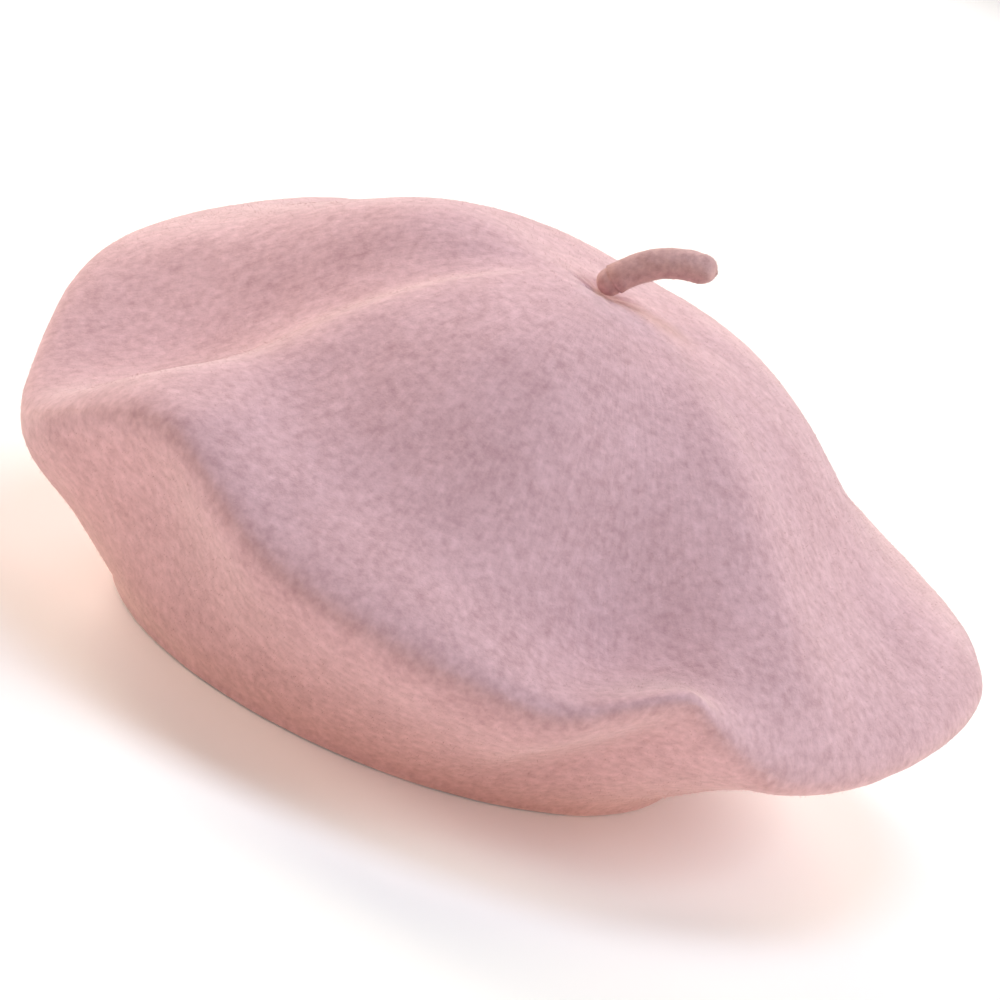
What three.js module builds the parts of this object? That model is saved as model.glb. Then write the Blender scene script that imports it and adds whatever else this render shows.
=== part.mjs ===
// A lined wool-felt beret with a short bent stalk, standing on its head opening.
//
// Millimetres, +Z up. The origin is the centre of the head opening, in the plane of its bottom edge.
// Azimuth is counted from +X towards +Y: 0 is the wearer's right, 90 the back, 180 the left, 270 the front.
//
// The felt is one surface. A meridian runs from the stalk's root, over the crown and round the folded
// rim to the head opening, as a uniform cubic B-spline through a column of control rings. Each ring
// has a plain height and a list of folds, which lift it or lower it at some azimuths.
import * as THREE from 'three';

// ---- driving dimensions -------------------------------------------------------------------------

const OPENING_RADIUS = 91; // outside of the felt at the head opening
const RIM_RADIUS = 147; // outside of the folded rim
const RIM_HEIGHT = 62; // middle of the folded rim, away from any fold
const CROWN_HEIGHT = 133.5; // top of the crown round the stalk
const FELT_THICKNESS = 2.8;
const LINING_THICKNESS = 0.6;
const LINING_INSET = 7; // how far the loose lining hangs inside the outer surface
const STALK_LENGTH = 30; // along its curve, from the middle of its foot
const STALK_RADIUS = 4.6;
const BAND_HEIGHT = 26; // sweatband, from its sewn edge to its folded top
const BAND_THICKNESS = 1.2;
const LABEL_THICKNESS = 0.5;
const CARE_LABEL_WIDTH = 25;
const CARE_LABEL_LENGTH = 22;
const SIZE_LABEL_WIDTH = 14;
const SIZE_LABEL_LENGTH = 13;
const BOW_WIDTH = 34;
const BOW_HEIGHT = 12;
const THREAD_RADIUS = 0.35;

const CLEARANCE = 0.35; // between pieces that lie against each other
const BAND_GAP = 1.6; // between the felt's edge and the sweatband
const AZIMUTH_STEPS = 60;
const FELT_ROWS = 26;

// ---- where the crown sits over the opening ------------------------------------------------------

const CROWN_SHIFT = [14, 0]; // the rim is wider to the wearer's right
const ROOT = [15.5, 0]; // the stalk's root
const TOP_LEAN = 0.12; // slope of the crown's top, down towards +X
const RIM_ROLL = 5; // half the height of the folded rim

// Control rings of the top: radius as a share of the rim's, height as a share of the way from the rim
// up to the crown, and how far the ring's centre has moved from the root to the crown's shift.
const CROWN_RING = { radius: 0.355, height: 0.9, drift: 0.25 };
const SHOULDER_RING = { radius: 0.54, height: 0.64, drift: 0.5 };
const SKIRT_RING = { radius: 0.71, height: 0.31, drift: 0.8 };
const BROW_INSET = 20; // the brow ring lies this far inside the rim
const BROW_RISE = 14; // and this far above it
const TOP_RING_RADIUS = 24;
const TOP_RING_DROP = 1.2;
const DIMPLE_RADIUS = 9; // hollow that the stalk grows from
const DIMPLE_DEPTH = 3.2;
const BELLY_INSET = 12; // the underside's first ring lies this far inside the rim
const HEEL_RISE = 11; // the underside's last ring, just outside the opening
const HEEL_REACH = 9.5;
const EDGE_RISE = 4; // upright edge of the opening
const EDGE_REACH = 1.5;

// ---- folds: [azimuth, lift] ----------------------------------------------------------------------

const CROWN_FOLDS = [[0, -3], [40, 3], [75, 5], [110, 10], [140, 12], [165, 12], [181, 7], [193, 0],
  [203, -3], [214, 0], [235, 0], [260, -1], [285, -5], [305, -6], [320, -4], [335, -5]];
const SHOULDER_FOLDS = [[0, 1], [25, 6], [45, 8], [70, 9], [100, 11], [130, 15], [152, 18],
  [166, 17], [177, 10], [188, -3], [198, -7], [207, -2], [215, 3], [230, 2], [250, 1], [270, -2],
  [287, -9], [297, -9], [308, -3], [318, 1], [335, -2]];
const SKIRT_FOLDS = [[0, 0], [30, 5], [60, 15], [95, 21], [125, 26], [148, 27], [160, 26],
  [172, 19], [184, 3], [194, -8], [203, -8], [210, 1], [218, 7], [230, 3], [248, -3], [268, -8],
  [281, -15], [290, -22], [299, -18], [309, -6], [319, 2], [330, -1], [345, -4]];
const BROW_FOLDS = [[0, 1], [30, 2.5], [60, 11], [90, 21], [125, 29], [145, 24], [160, 18],
  [172, 11], [182, -2], [192, -12], [203, -11], [212, 3], [219, 12], [227, 12], [235, 6], [248, -2],
  [268, -9], [281, -17], [289, -18], [297, -12], [306, -5], [316, 0], [326, -5], [342, -5]];
const RIM_FOLDS = [[0, 0], [20, 1], [42, 2], [60, 8], [85, 22], [108, 34], [125, 34], [136, 29],
  [146, 22], [156, 17], [168, 12], [180, 2], [190, -8], [199, -13], [207, -7], [215, 3], [223, 13],
  [230, 15], [239, 6], [247, -2], [262, -7], [278, -9.5], [284, -8], [290, 0], [296, 6], [301, -1],
  [307, -9], [314, -13], [326, -10.5], [342, -4.5]];
const RIM_REACH = [[0, 5], [30, 0.5], [80, -2], [130, 0], [152, 3], [170, 3], [186, 2], [202, 5],
  [215, 4], [230, 1], [270, 0], [300, 1], [320, 2], [340, 2.5]];
const BELLY_DROP = [[0, 16], [60, 17], [180, 17], [270, 16], [296, 17], [312, 9], [330, 10]];
// The loose lining spans the pucker at the front instead of following it: a share, from 0 to 1.
const LINING_SPAN = [[0, 0], [90, 0], [180, 0], [262, 0], [280, 0.5], [292, 1], [304, 0.5], [322, 0]];
const SPAN_PULL = 16; // how far it stays back from the rim there
const SPAN_DROP = 9; // and how much lower it runs

// ---- the felt surface ----------------------------------------------------------------------------

const FULL_TURN = 360;
const radians = THREE.MathUtils.degToRad;

// A smooth closed curve through a fold list.
function foldAt(folds, azimuth) {
  const count = folds.length;
  const key = (i) => folds[(i + count) % count][0] + FULL_TURN * Math.floor(i / count);
  const lift = (i) => folds[(i + count) % count][1];
  const slope = (i) => (lift(i + 1) - lift(i - 1)) / (key(i + 1) - key(i - 1));
  const at = ((azimuth % FULL_TURN) + FULL_TURN) % FULL_TURN;
  let i = 0;
  while (i < count - 1 && key(i + 1) <= at) i += 1;
  const width = key(i + 1) - key(i);
  const u = (at - key(i)) / width;
  return (2 * u ** 3 - 3 * u ** 2 + 1) * lift(i) + (u ** 3 - 2 * u ** 2 + u) * width * slope(i)
    + (3 * u ** 2 - 2 * u ** 3) * lift(i + 1) + (u ** 3 - u ** 2) * width * slope(i + 1);
}

// The control points of one meridian, from the root to the opening. A positive inset gives the
// smaller surface that the lining follows.
function controlColumn(azimuth, inset) {
  const span = inset > 0 ? foldAt(LINING_SPAN, azimuth) : 0;
  const rim = RIM_HEIGHT + foldAt(RIM_FOLDS, azimuth) - SPAN_DROP * span;
  const rimRadius = RIM_RADIUS + foldAt(RIM_REACH, azimuth) - SPAN_PULL * span;
  const drop = foldAt(BELLY_DROP, azimuth);
  const bellyRadius = rimRadius - BELLY_INSET;
  const cosine = Math.cos(radians(azimuth));
  const sine = Math.sin(radians(azimuth));
  const point = (drift, radius, height) => new THREE.Vector3(
    ROOT[0] + (CROWN_SHIFT[0] - ROOT[0]) * drift + radius * cosine,
    ROOT[1] + (CROWN_SHIFT[1] - ROOT[1]) * drift + radius * sine,
    height,
  );
  const below = (share, radius, height) => new THREE.Vector3(
    CROWN_SHIFT[0] * share + radius * cosine,
    CROWN_SHIFT[1] * share + radius * sine,
    height,
  );
  const topRing = (ring, folds) => point(
    ring.drift,
    RIM_RADIUS * ring.radius,
    RIM_HEIGHT + (CROWN_HEIGHT - RIM_HEIGHT) * ring.height + foldAt(folds, azimuth) - inset,
  );
  const slope = TOP_LEAN * cosine;
  return [
    point(0, 0, CROWN_HEIGHT - DIMPLE_DEPTH - inset),
    point(0, DIMPLE_RADIUS, CROWN_HEIGHT - DIMPLE_RADIUS * slope - inset),
    point(0, TOP_RING_RADIUS, CROWN_HEIGHT - TOP_RING_DROP - TOP_RING_RADIUS * slope - inset),
    topRing(CROWN_RING, CROWN_FOLDS),
    topRing(SHOULDER_RING, SHOULDER_FOLDS),
    topRing(SKIRT_RING, SKIRT_FOLDS),
    point(1, rimRadius - BROW_INSET - inset,
      RIM_HEIGHT + BROW_RISE + foldAt(BROW_FOLDS, azimuth) - inset),
    point(1, rimRadius - inset, rim + RIM_ROLL - inset / 2),
    point(1, rimRadius - inset, rim - RIM_ROLL + inset / 2),
    below(0.8, bellyRadius - inset / 2, rim - drop + inset),
    below(0.4, (bellyRadius + OPENING_RADIUS) / 2 + 3 - inset / 2, (rim - drop) / 2 + 6 + inset),
    below(0, OPENING_RADIUS + HEEL_REACH - inset, HEEL_RISE + inset / 2),
    below(0, OPENING_RADIUS + EDGE_REACH - inset / 2, EDGE_RISE + inset / 2),
    below(0, OPENING_RADIUS - inset / 2, inset / 2),
  ];
}

const RIM_STATION = 7.5; // place along a meridian of the outermost point, counted in control rings
const LAST_STATION = 13;

// A function of the station, 0 at the root and LAST_STATION at the opening.
function meridian(azimuth, inset) {
  const column = controlColumn(azimuth, inset);
  const across = controlColumn(azimuth + FULL_TURN / 2, inset)[1];
  const beyond = column[LAST_STATION].clone().multiplyScalar(2).sub(column[LAST_STATION - 1]);
  const points = [across, ...column, beyond];
  return (station) => {
    const i = Math.min(Math.floor(station), LAST_STATION - 1);
    const u = station - i;
    const weights = [(1 - u) ** 3, 3 * u ** 3 - 6 * u ** 2 + 4, 1 + 3 * u + 3 * u ** 2 - 3 * u ** 3, u ** 3];
    const sum = new THREE.Vector3();
    weights.forEach((weight, k) => sum.addScaledVector(points[i + k], weight / 6));
    return sum;
  };
}

// A point of the surface, moved inwards along its normal.
function surfacePoint(azimuth, station, inset, depth) {
  const curve = meridian(azimuth, inset);
  const point = curve(station);
  if (depth === 0) return point;
  const small = 0.01;
  const ahead = curve(Math.min(station + small, LAST_STATION)).sub(curve(Math.max(station - small, 0)));
  const sideways = meridian(azimuth + 0.5, inset)(station).sub(meridian(azimuth - 0.5, inset)(station));
  const normal = station > 0
    ? ahead.cross(sideways).normalize()
    : new THREE.Vector3(TOP_LEAN, 0, 1).normalize();
  return point.addScaledVector(normal, -depth);
}

// ---- closed solids from rows of points -----------------------------------------------------------

// Rows of points, each closed on itself. capStart and capEnd fill the first and last row with a fan.
// loop joins the last row to the first instead. A row of one point is a pole.
function rowsGeometry(rows, { loop = false, capStart = false, capEnd = false } = {}) {
  const positions = [];
  const offsets = [];
  const faces = [];
  rows.forEach((row) => {
    offsets.push(positions.length / 3);
    row.forEach((p) => positions.push(p.x, p.y, p.z));
  });
  const vertex = (r, s) => offsets[r] + (rows[r].length === 1 ? 0 : s % rows[r].length);
  const joints = loop ? rows.length : rows.length - 1;
  for (let r = 0; r < joints; r += 1) {
    const next = (r + 1) % rows.length;
    const steps = Math.max(rows[r].length, rows[next].length);
    for (let s = 0; s < steps; s += 1) {
      if (rows[next].length > 1) faces.push(vertex(r, s), vertex(next, s), vertex(next, s + 1));
      if (rows[r].length > 1) faces.push(vertex(r, s), vertex(next, s + 1), vertex(r, s + 1));
    }
  }
  const fan = (r, turned) => {
    for (let s = 1; s < rows[r].length - 1; s += 1) {
      const [a, b] = turned ? [s + 1, s] : [s, s + 1];
      faces.push(vertex(r, 0), vertex(r, a), vertex(r, b));
    }
  };
  if (capStart) fan(0, false);
  if (capEnd) fan(rows.length - 1, true);
  const geometry = new THREE.BufferGeometry();
  geometry.setAttribute('position', new THREE.Float32BufferAttribute(positions, 3));
  geometry.setIndex(faces);
  geometry.computeVertexNormals();
  return geometry;
}

function surfaceRow(station, inset, depth) {
  if (station === 0) return [surfacePoint(0, 0, inset, depth)];
  const row = [];
  for (let s = 0; s < AZIMUTH_STEPS; s += 1) {
    row.push(surfacePoint((s * FULL_TURN) / AZIMUTH_STEPS, station, inset, depth));
  }
  return row;
}

// A skin of even thickness along the surface, between two stations.
function skin(stations, inset, thickness) {
  const outer = stations.map((station) => surfaceRow(station, inset, 0));
  const inner = stations.map((station) => surfaceRow(station, inset, thickness));
  return { outer, inner };
}

function skinGeometry({ outer, inner }) {
  const closed = outer[0].length > 1;
  return rowsGeometry([...outer, ...inner.reverse()], { loop: closed });
}

function spread(from, to, count) {
  return Array.from({ length: count + 1 }, (_, i) => from + ((to - from) * i) / count);
}

// A ring about the opening's axis. Its outline of [radius, height] points runs clockwise.
function ringGeometry(outline) {
  const rows = outline.map(([radius, height]) => Array.from({ length: AZIMUTH_STEPS }, (_, s) => {
    const angle = radians((s * FULL_TURN) / AZIMUTH_STEPS);
    return new THREE.Vector3(radius * Math.cos(angle), radius * Math.sin(angle), height);
  }));
  return rowsGeometry(rows, { loop: true });
}

// ---- materials -----------------------------------------------------------------------------------

function material(color, roughness) {
  return new THREE.MeshStandardMaterial({ color, roughness, metalness: 0 });
}

const pinkFelt = material('#d8afb1', 0.95);
const roseSatin = material('#c9979c', 0.45);
const roseRibbon = material('#b98289', 0.7);
const elasticBraid = material('#e6dcd6', 0.8);
const pinkThread = material('#d29aa0', 0.6);
const whiteSatin = material('#efe9e2', 0.5);

const group = new THREE.Group();

function add(name, geometry, finish, parent = group) {
  const mesh = new THREE.Mesh(geometry, finish);
  mesh.name = name;
  parent.add(mesh);
  return mesh;
}

// ---- felt body -----------------------------------------------------------------------------------

const felt = skin(spread(0, LAST_STATION, FELT_ROWS), 0, FELT_THICKNESS);
felt.inner[FELT_ROWS].forEach((p) => { p.z = 0; });
add('felt_body', skinGeometry(felt), pinkFelt);

// ---- stalk, on a round foot that sits in the crown's dimple ------------------------------------------

const FOOT_RADIUS = STALK_RADIUS + 0.2;
const FOOT_COVER = 60; // degrees of the foot that the stalk's cupped end covers
const STALK_SIDES = 16;
const crownNormal = new THREE.Vector3(TOP_LEAN, 0, 1).normalize();
const footCentre = surfacePoint(0, 0, 0, 0).addScaledVector(crownNormal, FOOT_RADIUS + CLEARANCE);

const foot = add('stalk_foot', new THREE.SphereGeometry(FOOT_RADIUS, STALK_SIDES, 10), pinkFelt);
foot.position.copy(footCentre);

// The stalk's centre line rises aslant and then bends over to +X.
const stalkCurve = new THREE.CubicBezierCurve3(
  new THREE.Vector3(0, 0, 0),
  new THREE.Vector3(0.15, 0, 0.19).multiplyScalar(STALK_LENGTH),
  new THREE.Vector3(0.36, 0, 0.43).multiplyScalar(STALK_LENGTH),
  new THREE.Vector3(0.78, 0, 0.46).multiplyScalar(STALK_LENGTH),
);

function stalkRow(centre, direction, radius) {
  if (radius === 0) return [centre.clone()];
  const side = new THREE.Vector3(0, 1, 0);
  const up = side.clone().cross(direction).normalize();
  return Array.from({ length: STALK_SIDES }, (_, s) => {
    const angle = (s * 2 * Math.PI) / STALK_SIDES;
    return centre.clone()
      .addScaledVector(up, radius * Math.cos(angle))
      .addScaledVector(side, radius * Math.sin(angle));
  });
}

function stalkGeometry() {
  const cup = FOOT_RADIUS + CLEARANCE;
  const lip = cup + 0.5;
  const start = stalkCurve.getTangent(0);
  const rows = [];
  // rounded tip, from its pole back to the full radius
  const tip = stalkCurve.getPoint(1);
  const ahead = stalkCurve.getTangent(1);
  [90, 65, 40, 20].forEach((angle) => rows.push(stalkRow(
    tip.clone().addScaledVector(ahead, STALK_RADIUS * Math.sin(radians(angle))),
    ahead,
    angle === 90 ? 0 : STALK_RADIUS * Math.cos(radians(angle)),
  )));
  // shaft, from the tip back to the foot
  [1, 0.85, 0.7, 0.55, 0.4, 0.26].forEach((u) => rows.push(stalkRow(
    stalkCurve.getPoint(u), stalkCurve.getTangent(u), STALK_RADIUS + 0.4 * (1 - u) ** 2,
  )));
  // lip round the foot, then the cup that fits over it
  const lipAngle = radians(FOOT_COVER);
  rows.push(stalkRow(start.clone().multiplyScalar(lip * Math.cos(lipAngle)), start, lip * Math.sin(lipAngle)));
  [FOOT_COVER, 40, 20, 0].forEach((angle) => rows.push(stalkRow(
    start.clone().multiplyScalar(cup * Math.cos(radians(angle))), start, cup * Math.sin(radians(angle)),
  )));
  return rowsGeometry(rows);
}

const stalk = add('stalk', stalkGeometry(), pinkFelt);
stalk.position.copy(footCentre);

// the stalk's yarn, knotted off under the felt
const KNOT_RADIUS = 3.4;
const KNOT_HEIGHT = 2.4;
const knotCentre = surfacePoint(0, 0, 0, FELT_THICKNESS + CLEARANCE + KNOT_HEIGHT / 2);
const knot = add('stalk_knot', new THREE.SphereGeometry(1, 12, 8), pinkThread);
knot.scale.set(KNOT_RADIUS, KNOT_HEIGHT / 2, KNOT_RADIUS);
knot.rotation.x = Math.PI / 2;
knot.position.copy(knotCentre);

// ---- lining: a crown piece and a side piece, seamed inside the rim --------------------------------------

const SEAM_HALF = 0.2; // stations between the seam and each piece's edge
const SIDE_END = 12.6; // the side piece ends behind the sweatband
const seamAt = RIM_STATION;
add('lining_crown', skinGeometry(
  skin([0, 1, 2, 3, 4, 5, 5.8, 6.6, seamAt - SEAM_HALF], LINING_INSET, LINING_THICKNESS),
), roseSatin);
add('lining_side', skinGeometry(
  skin([seamAt + SEAM_HALF, 8.3, 9.2, 10.1, 11, 11.8, SIDE_END], LINING_INSET, LINING_THICKNESS),
), roseSatin);

// the two pieces' seam allowances, standing into the hat as one narrow fin between them
const SEAM_ALLOWANCE = 3.5;
const SEAM_THICKNESS = 0.5;
const SEAM_START = 1.6; // from the lining's outer surface
const SEAM_LEAN = 0.64; // 0 along the crown piece, 1 along the side piece
function seamGeometry() {
  const outline = [[SEAM_START, 1], [SEAM_START, -1],
    [SEAM_START + SEAM_ALLOWANCE, -1], [SEAM_START + SEAM_ALLOWANCE, 1]];
  const seam = surfaceRow(seamAt, LINING_INSET, 0);
  const above = surfaceRow(seamAt - 1, LINING_INSET, 0);
  const below = surfaceRow(seamAt + 1, LINING_INSET, 0);
  const rows = outline.map(([depth, side]) => seam.map((p, s) => {
    const inwards = above[s].clone().lerp(below[s], SEAM_LEAN).sub(p).normalize();
    const across = above[s].clone().sub(below[s]);
    across.addScaledVector(inwards, -across.dot(inwards)).normalize();
    return p.clone().addScaledVector(inwards, depth).addScaledVector(across, (side * SEAM_THICKNESS) / 2);
  }));
  return rowsGeometry(rows, { loop: true });
}
add('lining_seam', seamGeometry(), roseSatin);

// ---- sweatband: grosgrain, its top edge folded out and down over an elastic ------------------------------

const bandOuter = OPENING_RADIUS - FELT_THICKNESS - BAND_GAP;
const bandInner = bandOuter - BAND_THICKNESS;
const ELASTIC_THICKNESS = 1;
const ELASTIC_WIDTH = 5;
const CASING_DEPTH = 10;
const casingGap = ELASTIC_THICKNESS + 2 * CLEARANCE;
const bandBottom = 0.8;
const bandTop = bandBottom + BAND_HEIGHT;
add('sweatband', ringGeometry([
  [bandInner, bandTop - BAND_THICKNESS / 2],
  [bandInner + BAND_THICKNESS / 2, bandTop],
  [bandOuter + casingGap + BAND_THICKNESS / 2, bandTop],
  [bandOuter + casingGap + BAND_THICKNESS, bandTop - BAND_THICKNESS / 2],
  [bandOuter + casingGap + BAND_THICKNESS, bandTop - CASING_DEPTH],
  [bandOuter + casingGap, bandTop - CASING_DEPTH],
  [bandOuter + casingGap, bandTop - BAND_THICKNESS],
  [bandOuter, bandTop - BAND_THICKNESS],
  [bandOuter, bandBottom],
  [bandInner, bandBottom],
]), roseRibbon);

const elasticInner = bandOuter + CLEARANCE;
const elasticTop = bandTop - BAND_THICKNESS - CLEARANCE;
add('sizing_elastic', ringGeometry([
  [elasticInner, elasticTop],
  [elasticInner + ELASTIC_THICKNESS, elasticTop],
  [elasticInner + ELASTIC_THICKNESS, elasticTop - ELASTIC_WIDTH],
  [elasticInner, elasticTop - ELASTIC_WIDTH],
]), elasticBraid);

// two rows of stitching on the sweatband's inner face
const threadRing = bandInner - CLEARANCE - THREAD_RADIUS;
const HEM_ROW = 3;
const CASING_ROW = CASING_DEPTH - 1.5;
function threadGeometry(height) {
  const r = THREAD_RADIUS;
  return ringGeometry([[threadRing - r, height], [threadRing, height + r],
    [threadRing + r, height], [threadRing, height - r]]);
}
add('hem_stitching', threadGeometry(bandBottom + HEM_ROW), pinkThread);
add('casing_stitching', threadGeometry(bandTop - CASING_ROW), pinkThread);

// ---- bow on the sweatband's join, at the back ------------------------------------------------------------

// Distance from the axis of a flat piece that just clears the stitching, for a piece of a given width.
function flatClearance(width) {
  return Math.sqrt((threadRing - THREAD_RADIUS) ** 2 - (width / 2) ** 2) - 2 * CLEARANCE;
}

const BOW_THICKNESS = 1.4;
const KNOT_WIDTH = 6;
const BOW_KNOT_THICKNESS = 2;
const bowHeight = bandBottom + BAND_HEIGHT / 2;

function bowShape() {
  const w = BOW_WIDTH / 2;
  const h = BOW_HEIGHT / 2;
  const waist = h * 0.35;
  const shape = new THREE.Shape();
  shape.moveTo(0, waist);
  shape.bezierCurveTo(w * 0.3, h * 0.7, w * 0.6, h * 1.25, w * 0.9, h * 0.95);
  shape.quadraticCurveTo(w * 1.1, 0, w * 0.9, -h * 0.95);
  shape.bezierCurveTo(w * 0.6, -h * 1.25, w * 0.3, -h * 0.7, 0, -waist);
  shape.bezierCurveTo(-w * 0.3, -h * 0.7, -w * 0.6, -h * 1.25, -w * 0.9, -h * 0.95);
  shape.quadraticCurveTo(-w * 1.1, 0, -w * 0.9, h * 0.95);
  shape.bezierCurveTo(-w * 0.6, h * 1.25, -w * 0.3, h * 0.7, 0, waist);
  return shape;
}

const bow = new THREE.Group();
bow.rotation.x = Math.PI / 2; // the extrusion's depth runs towards the hat's middle
bow.position.set(0, flatClearance(BOW_WIDTH), bowHeight);
group.add(bow);
add('band_bow', new THREE.ExtrudeGeometry(bowShape(), {
  depth: BOW_THICKNESS, bevelEnabled: false, curveSegments: 4,
}), roseRibbon, bow);
const bowKnot = add('bow_knot', new THREE.BoxGeometry(KNOT_WIDTH, BOW_HEIGHT * 0.6, BOW_KNOT_THICKNESS),
  roseRibbon, bow);
bowKnot.position.z = BOW_THICKNESS + CLEARANCE + BOW_KNOT_THICKNESS / 2;

// ---- labels, each sewn in at the sweatband's top edge and hanging against it ----------------------------

const LABEL_DROP = 1; // from the sweatband's top to a label's sewn edge

function addLabel(name, azimuth, width, length) {
  const holder = new THREE.Group();
  holder.rotation.z = radians(azimuth);
  group.add(holder);
  const label = add(name, new THREE.BoxGeometry(LABEL_THICKNESS, width, length), whiteSatin, holder);
  label.position.x = flatClearance(width) - LABEL_THICKNESS / 2;
  label.position.z = bandTop - LABEL_DROP - length / 2;
}

addLabel('care_label', 180, CARE_LABEL_WIDTH, CARE_LABEL_LENGTH);
addLabel('size_label', 125, SIZE_LABEL_WIDTH, SIZE_LABEL_LENGTH);

export default group;
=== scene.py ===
# %% [markdown]
# # A wool-felt beret
# The real hat is knitted from wool, shrunk in hot water until the stitches close up, and pulled over
# a block. It is then a soft skin about 3 mm thick, with no seam outside. A short stalk of the same felt
# bends over on the crown, and inside there is a satin lining and a ribbon sweatband.
# The CAD frame is loaded first. Its nodes say where every piece is, and the pieces made here replace
# them, because cloth drawn with plain solids doesn't look like cloth.

# %% Load the frame
import math

import bmesh
import bpy
import numpy as np
from mathutils import Matrix, Vector, noise


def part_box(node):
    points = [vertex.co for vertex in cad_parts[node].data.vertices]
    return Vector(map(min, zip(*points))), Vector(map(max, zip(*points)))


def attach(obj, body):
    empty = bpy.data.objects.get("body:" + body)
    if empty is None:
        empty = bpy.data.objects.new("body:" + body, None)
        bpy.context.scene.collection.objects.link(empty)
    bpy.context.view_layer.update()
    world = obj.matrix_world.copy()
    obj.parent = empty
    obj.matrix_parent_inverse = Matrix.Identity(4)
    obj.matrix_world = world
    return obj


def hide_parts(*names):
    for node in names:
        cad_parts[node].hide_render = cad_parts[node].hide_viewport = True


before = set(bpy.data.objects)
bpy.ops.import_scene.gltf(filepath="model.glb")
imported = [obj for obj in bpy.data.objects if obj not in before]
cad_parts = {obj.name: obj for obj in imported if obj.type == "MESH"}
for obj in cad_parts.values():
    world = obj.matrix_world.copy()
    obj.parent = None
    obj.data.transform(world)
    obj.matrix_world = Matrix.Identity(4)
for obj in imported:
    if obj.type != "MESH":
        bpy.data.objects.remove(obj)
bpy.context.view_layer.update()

MM = 0.001
FULL_TURN = 360
print("nodes:", sorted(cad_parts))

# %% [markdown]
# ## Camera
# The hat is looked at from the front, 19 degrees above the table, with the camera rolled 22 degrees, so
# that the hat leans in the picture although it stands upright on the table. A long lens from 1.5 m away
# keeps the perspective weak, as in catalogue pictures. The view is aimed a little to the right of and
# above the head opening's centre, so that the whole hat is in the frame without any lens shift.

# %% Camera
VIEW_RISE = math.radians(19)
VIEW_ROLL = math.radians(22)
VIEW_DISTANCE = 1.5
AIM_RIGHT = 0.021  # of the distance
AIM_UP = 0.0337
LENS = 178.2
SENSOR = 36

towards_camera = Vector((0, -math.cos(VIEW_RISE), math.sin(VIEW_RISE)))
level_up = Vector((0, math.sin(VIEW_RISE), math.cos(VIEW_RISE)))
level_right = Vector((1, 0, 0))
view_right = level_right * math.cos(VIEW_ROLL) + level_up * math.sin(VIEW_ROLL)
view_up = level_up * math.cos(VIEW_ROLL) - level_right * math.sin(VIEW_ROLL)

forward = (-towards_camera + view_right * AIM_RIGHT + view_up * AIM_UP).normalized()
right = forward.cross(view_up).normalized()
bpy.ops.object.select_all(action="DESELECT")
bpy.ops.object.camera_add(location=towards_camera * VIEW_DISTANCE)
camera = bpy.context.object
camera.name = "camera"
camera.rotation_mode = "QUATERNION"
camera.rotation_quaternion = Matrix((right, right.cross(forward), -forward)).transposed().to_quaternion()
camera.data.type = "PERSP"
camera.data.sensor_width = SENSOR
camera.data.lens = LENS
camera.data.clip_start = 0.05
camera.data.clip_end = 50
bpy.context.scene.camera = camera
print("camera at", [round(x, 3) for x in camera.location])

# %% [markdown]
# ## Table and light
# A pale table that reaches past the view serves as the background too. It is a light table, as product
# studios use: a big lamp under it shines up through the top, so the top casts no shadow, and the hat's
# underside isn't lost in the dark. The rest is plain soft light from big square lamps all round, a
# little cool from the right and above, and a little warm from the left. Wool glows where light grazes
# it, so some of them stand behind the hat.

# %% Table
TABLE_SIZE = 30
TABLE_DROP = 0.0004  # the hat rests this far above it, so that no two faces share a plane


def new_material(name):
    """An empty node material, with its Principled shader and the node tree."""
    material = bpy.data.materials.new(name)
    material.use_nodes = True
    shader = material.node_tree.nodes["Principled BSDF"]
    return material, material.node_tree, shader


bpy.ops.object.select_all(action="DESELECT")
bpy.ops.mesh.primitive_plane_add(size=TABLE_SIZE, location=(0, 0, -TABLE_DROP))
table_top = bpy.context.object
table_top.name = "table_top"
paint, _, paint_shader = new_material("table_paint")
paint_shader.inputs["Base Color"].default_value = (0.93, 0.88, 0.85, 1)
paint_shader.inputs["Roughness"].default_value = 0.8
paint_shader.inputs["Emission Color"].default_value = (1.0, 0.97, 0.95, 1)
paint_shader.inputs["Emission Strength"].default_value = 0.12
table_top.data.materials.append(paint)
table_top.visible_shadow = False

# %% Lights
LIGHT_AIM = Vector((0.01, 0, 0.06))


def soft_light(name, place, size, power, colour):
    """A square area light at a place, turned towards the hat."""
    bpy.ops.object.select_all(action="DESELECT")
    bpy.ops.object.light_add(type="AREA", location=place)
    light = bpy.context.object
    light.name = name
    light.rotation_mode = "QUATERNION"
    light.rotation_quaternion = (LIGHT_AIM - Vector(place)).to_track_quat("-Z", "Y")
    light.data.shape = "SQUARE"
    light.data.size = size
    light.data.energy = power
    light.data.color = colour
    print(name, "at", place)


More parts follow.
